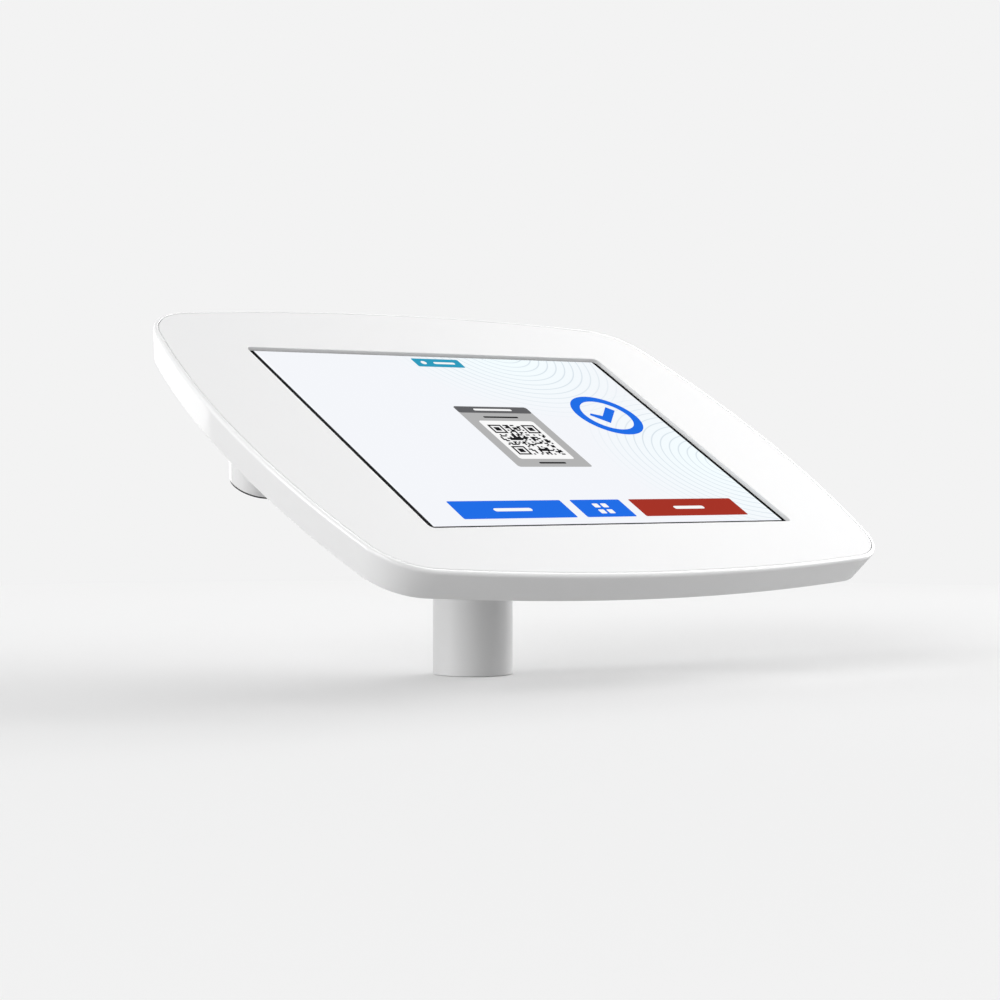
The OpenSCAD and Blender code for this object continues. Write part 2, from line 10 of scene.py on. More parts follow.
import bmesh
import bpy
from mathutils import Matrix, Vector


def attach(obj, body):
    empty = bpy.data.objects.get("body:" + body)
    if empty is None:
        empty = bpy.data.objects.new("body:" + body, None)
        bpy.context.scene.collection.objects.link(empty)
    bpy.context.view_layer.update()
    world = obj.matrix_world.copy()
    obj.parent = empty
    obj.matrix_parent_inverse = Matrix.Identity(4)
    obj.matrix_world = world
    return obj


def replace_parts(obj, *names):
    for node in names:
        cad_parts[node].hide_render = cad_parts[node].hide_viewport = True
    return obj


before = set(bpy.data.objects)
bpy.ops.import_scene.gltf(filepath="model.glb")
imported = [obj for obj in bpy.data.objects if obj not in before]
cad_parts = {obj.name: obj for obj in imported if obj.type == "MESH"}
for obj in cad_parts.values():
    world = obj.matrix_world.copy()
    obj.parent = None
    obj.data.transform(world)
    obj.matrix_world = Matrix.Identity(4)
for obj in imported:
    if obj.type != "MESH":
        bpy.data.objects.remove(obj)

Point = tuple[float, float]
Box = tuple[Point, Point]
Color = tuple[float, float, float]
Place = tuple[float, float, float]
Loop = list[bmesh.types.BMVert]

LOG = logging.getLogger("kiosk")
MM = 0.001
HEAD = "kiosk_head"
SMOOTH_ANGLE = math.radians(32)
CLOUD_SCALE = 14.0
BACKLIGHT_SCALE = 9.0
GRAIN_DETAIL = 3.0
ROUGHNESS_SWING = 0.08
MARK_CELLS = 7
MARK_MIDDLE = 3
MARK_RINGS = (0, 1, 3)
SCATTER = (12.9898, 78.233, 43758.5453)
DARK_SHARE = 0.5


class Slot(Enum):
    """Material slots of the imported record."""

    TRAY = "white_tray"
    FACE = "white_face"
    PAINT = "white_paint"
    GLASS = "tablet_glass"
    SCREEN = "lit_screen"


# Shader tools


class Value:
    """A shader socket that takes part in arithmetic."""

    def __init__(self, shader: "Shader", socket: bpy.types.NodeSocket) -> None:
        """Wraps one output socket of a shader."""
        self.shader = shader
        self.socket = socket

    def _math(self, operation: str, first: Any, second: Any) -> "Value":
        """Adds one Math node.

        Args:
            operation: Name of the Math node's operation.
            first: Value or number for the first socket.
            second: Value or number for the second socket.

        Returns:
            The node's result.
        """
        return self.shader.node("ShaderNodeMath", {"operation": operation}, {0: first, 1: second})

    def __add__(self, other: Any) -> "Value":
        """Sum of two values."""
        return self._math("ADD", self, other)

    __radd__ = __add__

    def __sub__(self, other: Any) -> "Value":
        """Difference of two values."""
        return self._math("SUBTRACT", self, other)

    def __rsub__(self, other: Any) -> "Value":
        """Difference of a number and this value."""
        return self._math("SUBTRACT", other, self)

    def __mul__(self, other: Any) -> "Value":
        """Product of two values."""
        return self._math("MULTIPLY", self, other)

    __rmul__ = __mul__

    def __truediv__(self, other: Any) -> "Value":
        """Quotient of two values."""
        return self._math("DIVIDE", self, other)

    def sine(self) -> "Value":
        """Sine of this value, in radians."""
        return self._math("SINE", self, 0.0)

    def most(self, other: Any) -> "Value":
        """Larger of two values."""
        return self._math("MAXIMUM", self, other)

    def least(self, other: Any) -> "Value":
        """Smaller of two values."""
        return self._math("MINIMUM", self, other)


class Shader:
    """Node tree of one finish, of the floor or of the world."""

    def __init__(self, tree: bpy.types.NodeTree) -> None:
        """Starts from an empty tree."""
        self.tree = tree
        tree.nodes.clear()

    def node(
        self,
        kind: str,
        settings: dict[str, Any] | None = None,
        inputs: dict[Any, Any] | None = None,
        output: Any = 0,
    ) -> Value:
        """Adds one node.

        Args:
            kind: Blender's type name of the node.
            settings: Attributes to set first, such as a Math node's operation.
            inputs: Numbers, colours or values, by socket name or number.
            output: Socket to return, by name or number.

        Returns:
            The chosen output, or the first one.
        """
        made = self.tree.nodes.new(kind)
        for name, setting in (settings or {}).items():
            setattr(made, name, setting)
        for socket, given in (inputs or {}).items():
            if isinstance(given, Value):
                self.tree.links.new(given.socket, made.inputs[socket])
            else:
                made.inputs[socket].default_value = given
        return Value(self, made.outputs[output]) if made.outputs else Value(self, made.inputs[0])

    def place(self) -> Value:
        """Position on the piece, in metres, in the row frame at rest."""
        return self.node("ShaderNodeTexCoord", output="Object")

    def noise(
        self, scale: float, detail: float = 2.0, stretch: Sequence[float] = (1, 1, 1)
    ) -> Value:
        """Soft noise over the piece.

        Args:
            scale: Cells per metre.
            detail: Octaves of the noise.
            stretch: Scale along each axis, to draw the noise out.

        Returns:
            The noise's level.
        """
        drawn = self.node(
            "ShaderNodeVectorMath", {"operation": "MULTIPLY"}, {0: self.place(), 1: tuple(stretch)}
        )
        return self.node(
            "ShaderNodeTexNoise", None, {"Vector": drawn, "Scale": scale, "Detail": detail}
        )

    def mix(self, share: Any, first: Any, second: Any) -> Value:
        """Mixes two colours by a share."""
        return self.node(
            "ShaderNodeMix",
            {"data_type": "RGBA"},
            {"Factor": share, 6: opaque(first), 7: opaque(second)},
            output=2,
        )

    def bump(self, height: Value, depth: float, strength: float) -> Value:
        """Bump of a height field, whose full step is a depth in metres."""
        return self.node(
            "ShaderNodeBump", None, {"Height": height, "Distance": depth, "Strength": strength}
        )


def opaque(color: Any) -> Any:
    """Adds alpha to a plain colour and passes a value through."""
    return color if isinstance(color, Value) else (*color, 1.0)


# Finishes


@dataclass(frozen=True)
class Finish:
    """A solid finish with a fine grain and a slight change of tone."""

    name: str
    color: Color
    roughness: float
    metallic: float = 0.0
    coat: float = 0.0
    coat_roughness: float = 0.2
    specular: float = 0.5
    tone: float = 0.03
    grain: float = 900.0
    depth: float = 0.00002
    strength: float = 0.25
    stretch: tuple[float, float, float] = (1.0, 1.0, 1.0)

    def material(self) -> bpy.types.Material:
        """Makes the finish's material.

        Returns:
            The new material.
        """
        made = bpy.data.materials.new(self.name)
        made.use_nodes = True
        shader = Shader(made.node_tree)
        self.wire(shader)
        return made

    def wire(self, shader: Shader) -> None:
        """Adds the finish's nodes.

        Args:
            shader: Tree of the new material.
        """
        cloud = shader.noise(CLOUD_SCALE, GRAIN_DETAIL)
        grain = shader.noise(self.grain, GRAIN_DETAIL, self.stretch)
        dark = tuple(channel * (1 - self.tone) for channel in self.color)
        surface = shader.node(
            "ShaderNodeBsdfPrincipled",
            None,
            {
                "Base Color": shader.mix(cloud, dark, self.color),
                "Roughness": self.roughness + ROUGHNESS_SWING * (grain - 0.5),
                "Metallic": self.metallic,
                "Coat Weight": self.coat,
                "Coat Roughness": self.coat_roughness,
                "Specular IOR Level": self.specular,
                "Normal": shader.bump(grain, self.depth, self.strength),
            },
        )
        shader.node("ShaderNodeOutputMaterial", None, {"Surface": surface})


@dataclass(frozen=True)
class LitInk(Finish):
    """One colour of the lit screen, a little uneven as a backlight is."""

    glow: float = 1.0
    black: Color = (0.01, 0.01, 0.012)

    def color_field(self, shader: Shader) -> Value:
        """Colour of the light over the screen.

        Args:
            shader: Tree of the new material.

        Returns:
            The colour before the glow's strength.
        """
        dim = tuple(channel * (1 - self.tone) for channel in self.color)
        return shader.mix(shader.noise(BACKLIGHT_SCALE), dim, self.color)

    def wire(self, shader: Shader) -> None:
        """Adds the nodes of a lit surface under glass.

        Args:
            shader: Tree of the new material.
        """
        surface = shader.node(
            "ShaderNodeBsdfPrincipled",
            None,
            {
                "Base Color": opaque(self.black),
                "Roughness": self.roughness,
                "Specular IOR Level": self.specular,
                "Emission Color": self.color_field(shader),
                "Emission Strength": self.glow,
            },
        )
        shader.node("ShaderNodeOutputMaterial", None, {"Surface": surface})


@dataclass(frozen=True)
class RippleInk(LitInk):
    """Background of the lit screen: pale rings that spread from two points and fade."""

    line: Color = (0.64, 0.72, 0.78)
    tint: Color = (0.90, 0.98, 1.0)
    centres: tuple[Vector, ...] = ()
    spacing: float = 0.0046
    reach: float = 0.075
    crest: float = 0.8
    sharpness: float = 4.0
    line_gain: float = 2.5
    wash_gain: float = 1.2

    def color_field(self, shader: Shader) -> Value:
        """Colour of the background, with its rings.

        Args:
            shader: Tree of the new material.

        Returns:
            The colour before the glow's strength.
        """
        place = shader.place()
        rings: Any = 0.0
        wash: Any = 0.0
        for centre in self.centres:
            away = shader.node(
                "ShaderNodeVectorMath",
                {"operation": "DISTANCE"},
                {0: place, 1: tuple(centre)},
                output="Value",
            )
            fade = (1 - away / self.reach).most(0.0)
            wave = (away * (2 * math.pi / self.spacing)).sine()
            lines = ((wave - self.crest) * self.sharpness).most(0.0)
            rings = lines * (fade * self.line_gain).least(1.0) + rings
            wash = fade + wash
        ground = shader.mix((wash * self.wash_gain).least(1.0), self.color, self.tint)
        return shader.mix(rings.least(1.0), ground, self.line)


WHITE_MOULDED = Finish(
    "white_moulded",
    (0.91, 0.91, 0.912),
    0.35,
    coat=1.0,
    coat_roughness=0.04,
    specular=0.1,
    grain=2600,
    tone=0.012,
    strength=0.1,
)
WHITE_SHEET = Finish(
    "white_sheet", (0.87, 0.87, 0.872), 0.5, specular=0.1, grain=3200, tone=0.01, strength=0.08
)
POWDER_COAT = Finish(
    "powder_coat", (0.73, 0.73, 0.732), 0.46, grain=1800, tone=0.015, strength=0.2
)
ZINC_STEEL = Finish(
    "zinc_steel", (0.60, 0.61, 0.63), 0.34, metallic=1.0, tone=0.1, grain=500, stretch=(1, 1, 12)
)
BLACK_LOCK = Finish(
    "black_lock", (0.03, 0.03, 0.033), 0.34, metallic=0.6, coat=0.3, grain=1400, strength=0.15
)
BEARING_BLACK = Finish("bearing_black", (0.035, 0.035, 0.037), 0.5, tone=0.15, grain=1200)
RUBBER_BLACK = Finish("rubber_black", (0.02, 0.02, 0.02), 0.72, tone=0.2, grain=1500, strength=0.4)
GREY_FOAM = Finish(
    "grey_foam",
    (0.07, 0.07, 0.075),
    0.9,
    specular=0.2,
    tone=0.35,
    grain=1100,
    depth=0.0003,
    strength=0.8,
)
BLASTED_METAL = Finish(
    "blasted_metal", (0.66, 0.67, 0.69), 0.38, metallic=1.0, tone=0.03, grain=3500
)
DARK_PLASTIC = Finish("dark_plastic", (0.025, 0.025, 0.028), 0.4, tone=0.2, grain=1300)
CELL_WRAP = Finish("cell_wrap", (0.03, 0.03, 0.034), 0.3, coat=0.4, tone=0.25, grain=300)
CIRCUIT_GREEN = Finish(
    "circuit_green", (0.02, 0.13, 0.06), 0.38, coat=0.3, tone=0.4, grain=700, strength=0.5
)
BORDER_GLASS = Finish(
    "border_glass", (0.004, 0.004, 0.005), 0.2, specular=0.005, tone=0.2, grain=400, strength=0.02
)

INK_BLUE = LitInk("ink_blue", (0.007, 0.149, 0.80), 0.5, specular=0.0)
INK_RED = LitInk("ink_red", (0.396, 0.027, 0.011), 0.5, specular=0.0, tone=0.12)
INK_TEAL = LitInk("ink_teal", (0.020, 0.324, 0.504), 0.5, specular=0.0)
INK_CARD = LitInk("ink_card", (0.45, 0.45, 0.45), 0.5, specular=0.0)
INK_HEADER = LitInk("ink_header", (0.117, 0.117, 0.122), 0.5, specular=0.0)
INK_WHITE = LitInk("ink_white", (0.95, 0.95, 0.95), 0.5, specular=0.0, tone=0.01)
PANEL_WHITE = LitInk("panel_white", (0.90, 0.915, 0.95), 0.5, specular=0.1)
INK_BLACK = LitInk("ink_black", (0.004, 0.004, 0.004), 0.5, specular=0.0)

NODE_FINISHES: dict[Finish, tuple[str, ...]] = {
    POWDER_COAT: ("head_plate",),
    ZINC_STEEL: (
        "base_spigot",
        "stop_pin",
        "spring_washer",
        "retaining_ring",
        "head_screws",
        "hook_tabs",
        "latch_keeper",
        "lock_nut",
        "lock_cam",
        "cam_screw",
    ),
    BEARING_BLACK: ("thrust_washer", "lower_bush", "upper_bush"),
    RUBBER_BLACK: ("cable_grommet", "screen_gasket"),
    GREY_FOAM: ("foam_cradle",),
    BLASTED_METAL: ("tablet_housing", "sleep_button", "volume_up_button", "volume_down_button"),
    DARK_PLASTIC: ("home_button",),
    CELL_WRAP: ("battery_cells",),
    CIRCUIT_GREEN: ("logic_board",),
    PANEL_WHITE: ("display_panel",),
    BLACK_LOCK: ("lock_barrel", "lock_plug"),
}


# Shape tools


def fillet(
    before: Point, corner: Point, after: Point, radius: float, steps: int = 6
) -> list[Point]:
    """Rounds one corner of a profile.

    Args:
        before: Point before the corner.
        corner: The sharp corner.
        after: Point after the corner.
        radius: Radius of the round. 0 keeps the corner.
        steps: Segments of the round.

    Returns:
        Points that take the corner's place.
    """
    middle = Vector(corner)
    if radius <= 0:
        return [corner]
    back = (Vector(before) - middle).normalized()
    on = (Vector(after) - middle).normalized()
    half = back.angle(on) / 2
    centre = middle + (back + on).normalized() * (radius / math.sin(half))
    start = middle + back * (radius / math.tan(half)) - centre
    stop = middle + on * (radius / math.tan(half)) - centre
    return [tuple(centre + start.slerp(stop, n / steps) * radius) for n in range(steps + 1)]


def toward(start: Point, goal: Point, step: float) -> Point:
    """Point a step away from the start, and at most half way to the goal."""
    way = Vector(goal) - Vector(start)
    return tuple(Vector(start) + way.normalized() * min(step, way.length / 2))


def rounded(profile: Sequence[tuple[float, float, float]], hold: float = 0.12) -> list[Point]:
    """Rounds the inner corners of an open profile.

    Args:
        profile: Points as two places and a radius.
        hold: Distance of the points that keep the flats beside a round flat.

    Returns:
        The profile with its rounds as points.
    """
    points = [(a, b) for a, b, _ in profile]
    made = [points[0]]
    for n in range(1, len(points) - 1):
        turn = fillet(points[n - 1], points[n], points[n + 1], profile[n][2])
        if len(turn) > 1:
            made.append(toward(turn[0], points[n - 1], hold))
            turn.append(toward(turn[-1], points[n + 1], hold))
        made += turn
    return made + [points[-1]]


def arc(centre: Point, radius: float, start: float, stop: float, steps: int) -> list[Point]:
    """Points of an arc, without its last one.

    Args:
        centre: Centre of the arc.
        radius: Radius of the arc.
        start: First angle, in radians.
        stop: Last angle, in radians.
        steps: Segments of the arc.

    Returns:
        The arc's points.
    """
    turns = [start + (stop - start) * n / steps for n in range(steps)]
    return [(centre[0] + radius * math.cos(a), centre[1] + radius * math.sin(a)) for a in turns]


def circle(centre: Point, radius: float, steps: int = 72) -> list[Point]:
    """Points of a full circle."""
    return arc(centre, radius, 0.0, 2 * math.pi, steps)


def round_box(low: Point, high: Point, radius: float, steps: int = 8) -> list[Point]:
    """Points of a rectangle with rounded corners.

    Args:
        low: Lower left corner.
        high: Upper right corner.
        radius: Radius of the corners.
        steps: Segments of each corner.

    Returns:
        The outline, turning left from the right side's upper corner.
    """
    corners = [
        (high[0] - radius, high[1] - radius),
        (low[0] + radius, high[1] - radius),
        (low[0] + radius, low[1] + radius),
        (high[0] - radius, low[1] + radius),
    ]
    made: list[Point] = []
    for n, corner in enumerate(corners):
        start = n * math.pi / 2
        made += arc(corner, radius, start, start + math.pi / 2, steps)
        made.append((
            corner[0] + radius * math.cos(start + math.pi / 2),
            corner[1] + radius * math.sin(start + math.pi / 2),
        ))
    return made


@dataclass(frozen=True)
class FacePlane:
    """Sloped plane of the face: u to the right, v up the slope, w out of the face."""

    tilt: float = math.radians(30)
    forward: float = 36.7
    height: float = 113.7

    def at(self, u: float, v: float, w: float) -> Vector:
        """Point of the row frame, in metres, for millimetres on the face."""
        rise, run = math.sin(self.tilt), math.cos(self.tilt)
        return Vector((u, v * run - w * rise - self.forward, v * rise + w * run + self.height)) * MM

    def loop(self, points: Iterable[Point], w: float) -> list[Vector]:
        """Points of the row frame for an outline at one level."""
        return [self.at(u, v, w) for u, v in points]


@dataclass(frozen=True)
class BowedOutline:
    """Outline of the face: four bowed sides joined by tangent corner arcs."""

    half_width: float = 159.35
    half_height: float = 122.35
    side_bow: float = 410.0
    end_bow: float = 980.0
    corner: float = 29.6
    steps: int = 28

    def corner_centre(self) -> Point:
        """Finds the corner arc that touches both bowed sides.

        Returns:
            Centre of the arc in the first quarter.
        """
        side = Vector((self.half_width - self.side_bow, 0.0))
        end = Vector((0.0, self.half_height - self.end_bow))
        span = end - side
        near, far = self.side_bow - self.corner, self.end_bow - self.corner
        along = (near**2 - far**2 + span.length_squared) / (2 * span.length)
        off = math.sqrt(near**2 - along**2)
        way = span.normalized()
        found = side + way * along + Vector((-way.y, way.x)) * off
        return found.x, found.y

    def points(self, inset: float) -> list[Point]:
        """Outline drawn in by an inset.

        Args:
            inset: Distance inside the face's edge.

        Returns:
            Points that turn left, with the same count for every inset.
        """
        cx, cy = self.corner_centre()
        side, end = self.half_width - self.side_bow, self.half_height - self.end_bow
        low, high = math.atan2(cy, cx - side), math.atan2(cy - end, cx)
        whole = math.pi
        sweeps = [
            ((side, 0.0), self.side_bow, -low, low),
            ((cx, cy), self.corner, low, high),
            ((0.0, end), self.end_bow, high, whole - high),
            ((-cx, cy), self.corner, whole - high, whole - low),
            ((-side, 0.0), self.side_bow, whole - low, whole + low),
            ((-cx, -cy), self.corner, whole + low, whole + high),
            ((0.0, -end), self.end_bow, whole + high, 2 * whole - high),
            ((cx, -cy), self.corner, 2 * whole - high, 2 * whole - low),
        ]
        made: list[Point] = []
        for centre, radius, start, stop in sweeps:
            made += arc(centre, radius - inset, start, stop, self.steps)
        return made


class Builder:
    """Gathers loops of points into one closed mesh."""

    def __init__(self) -> None:
        """Starts with an empty mesh."""
        self.bm = bmesh.new()

    def loop(self, points: Iterable[Vector]) -> Loop:
        """Adds the points of one closed loop."""
        return [self.bm.verts.new(point) for point in points]

    def skin(self, first: Loop, second: Loop) -> None:
        """Joins two loops with a strip of faces.

        Args:
            first: One loop.
            second: The other loop, with the same count.
        """
        count = len(first)
        for n in range(count):
            after = (n + 1) % count
            self.bm.faces.new((first[n], first[after], second[after], second[n]))

    def skins(self, loops: Sequence[Loop]) -> None:
        """Joins each loop of a row to the next one."""
        for first, second in zip(loops, loops[1:]):
            self.skin(first, second)

    def fill(self, loops: Sequence[Loop], normal: Vector) -> None:
        """Fills the flat area between an outer loop and the loops inside it.

        Args:
            loops: The outer loop first, then the holes.
            normal: Normal of the flat area.
        """
        edges = []
        for loop in loops:
            for first, second in zip(loop, loop[1:] + loop[:1]):
                pair = (first, second)
                edges.append(self.bm.edges.get(pair) or self.bm.edges.new(pair))
        bmesh.ops.triangle_fill(self.bm, use_beauty=True, edges=edges, normal=normal)

    def prism(self, low: Sequence[Vector], high: Sequence[Vector]) -> None:
        """Adds a closed prism between two equal outlines.

        Args:
            low: Outline of the lower end.
            high: Outline of the upper end.
        """
        bottom, top = self.loop(low), self.loop(high)
        self.skin(bottom, top)
        self.bm.faces.new(top)
        self.bm.faces.new(bottom[::-1])

    def piece(self, name: str, finish: Finish, body: str) -> bpy.types.Object:
        """Makes the finished piece and sets it on its body.

        Args:
            name: Name of the piece.
            finish: Finish of the whole piece.
            body: Body that the piece rides on.

        Returns:
            The new object.
        """
        bmesh.ops.recalc_face_normals(self.bm, faces=self.bm.faces[:])
        mesh = bpy.data.meshes.new(name)
        self.bm.to_mesh(mesh)
        self.bm.free()
        mesh.shade_smooth()
        mesh.set_sharp_from_angle(angle=SMOOTH_ANGLE)
        mesh.materials.append(finish.material())
        made = bpy.data.objects.new(name, mesh)
        bpy.context.scene.collection.objects.link(made)
        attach(made, body)
        LOG.info("%s: %d faces on %s", name, len(mesh.polygons), body)
        return made


# Sub-assemblies


@dataclass
class Housing:
    """Sloped tray and flat faceplate, in millimetres on the face."""

    plane: FacePlane
    outline: BowedOutline = field(default_factory=BowedOutline)
    underside: float = -15.8
    floor: float = -13.2
    draft: float = math.radians(17.3)
    widest: float = -1.2
    rim_width: float = 2.0
    rim_round: float = 1.5
    lip_round: float = 0.2
    wall: float = 3.0
    plate: float = 2.0
    seam: float = 0.25
    plate_round: float = 0.4
    window: Point = (107.0, 80.7)
    window_corner: float = 2.5
    window_round: float = 0.3
    lock: Point = (-139.5, 0.0)
    boss_end: float = -26.0
    boss_radius: float = 11.7
    boss_round: float = 0.5
    lock_bore: float = 6.2
    lead: Point = (0.0, 33.255)
    lead_bore: float = 10.6

    def build(self) -> None:
        """Builds and dresses both pieces."""
        self.build_tray()
        self.build_faceplate()

    def lean(self, level: float) -> float:
        """Inset of the tray's outer wall at a level."""
        return (self.widest - level) * math.tan(self.draft)

    def bowed(self, mesh: Builder, profile: Sequence[Point]) -> list[Loop]:
        """Loops of the bowed outline along a profile of insets and levels."""
        return [mesh.loop(self.plane.loop(self.outline.points(inset), w)) for inset, w in profile]

    def turned(self, mesh: Builder, centre: Point, profile: Sequence[Point]) -> list[Loop]:
        """Loops of a circle along a profile of radii and levels."""
        return [mesh.loop(self.plane.loop(circle(centre, r), w)) for r, w in profile]

    def build_tray(self) -> None:
        """Builds the tray with its rounded rim, its ledge and the hollow lock boss."""
        mesh = Builder()
        out = self.plane.at(0, 0, 1) - self.plane.at(0, 0, 0)
        inner = self.wall + self.lean(self.floor)
        ledge = self.wall + self.lean(-self.plate)
        walls = self.bowed(mesh, rounded([
            (self.lean(self.underside), self.underside, 0),
            (self.lean(0.0), 0.0, self.rim_round),
            (self.rim_width, 0.0, self.lip_round),
            (self.rim_width, -self.plate, 0),
            (ledge, -self.plate, 0),
            (inner, self.floor, 0),
        ]))
        mesh.skins(walls)
        foot = self.boss_radius + (self.underside - self.boss_end) * math.tan(self.draft)
        boss = self.turned(mesh, self.lock, rounded([
            (foot, self.underside, 0),
            (self.boss_radius, self.boss_end, self.boss_round),
            (self.lock_bore, self.boss_end, self.lip_round),
            (self.lock_bore, self.floor, 0),
        ]))
        mesh.skins(boss)
        hole = [(self.lead_bore, self.underside), (self.lead_bore, self.floor)]
        lead = self.turned(mesh, self.lead, hole)
        mesh.skins(lead)
        mesh.fill([walls[0], boss[0], lead[0]], -out)
        mesh.fill([walls[-1], boss[-1], lead[-1]], out)
        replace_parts(mesh.piece("tray_shell", WHITE_MOULDED, HEAD), "rear_tray")

    def build_faceplate(self) -> None:
        """Builds the faceplate with its rounded edge and the screen window."""
        mesh = Builder()
        out = self.plane.at(0, 0, 1) - self.plane.at(0, 0, 0)
        edge = self.rim_width + self.seam
        rim = self.bowed(mesh, rounded([
            (edge, -self.plate, 0),
            (edge, 0.0, self.plate_round),
            (edge + 2 * self.plate_round, 0.0, 0),
        ]))
        mesh.skins(rim)
        cut = rounded([
            (0.0, -self.plate, 0),
            (0.0, 0.0, self.window_round),
            (2 * self.window_round, 0.0, 0),
        ])
        width, height = self.window
        window = []
        for grow, level in cut:
            across, up = width + grow, height + grow
            shape = round_box((-across, -up), (across, up), self.window_corner + grow)
            window.append(mesh.loop(self.plane.loop(shape, level)))
        mesh.skins(window)
        mesh.fill([rim[-1], window[-1]], out)
        mesh.fill([rim[0], window[0]], -out)
        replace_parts(mesh.piece("face_sheet", WHITE_SHEET, HEAD), "faceplate")


@dataclass
class Post:
    """Round post, cut off along the slope of the plate above it."""

    plane: FacePlane
    radius: float = 19.0
    bore: float = 17.0
    foot: float = 0.2
    foot_round: float = 0.15
    foot_band: float = 10.0
    top_level: float = -19.8
    steps: int = 128

    def top(self, point: Point) -> float:
        """Height of the sloped cut above a point of the counter."""
        run, rise = math.cos(self.plane.tilt), math.sin(self.plane.tilt)
        return (self.top_level + rise * (point[1] + self.plane.forward)) / run + self.plane.height

    def build(self) -> None:
        """Builds and dresses the tube."""
        mesh = Builder()
        wall = rounded([
            (self.bore, self.foot, 0),
            (self.radius, self.foot, self.foot_round),
            (self.radius, self.foot + self.foot_band, 0),
        ])
        loops = []
        for r, z in wall:
            ring = circle((0.0, 0.0), r, self.steps)
            loops.append(mesh.loop(Vector((x, y, z)) * MM for x, y in ring))
        for r in (self.radius, self.bore):
            ring = circle((0.0, 0.0), r, self.steps)
            loops.append(mesh.loop(Vector((x, y, self.top((x, y)))) * MM for x, y in ring))
        mesh.skins(loops + loops[:1])
        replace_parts(mesh.piece("post_sleeve", POWDER_COAT, HEAD), "post_tube")


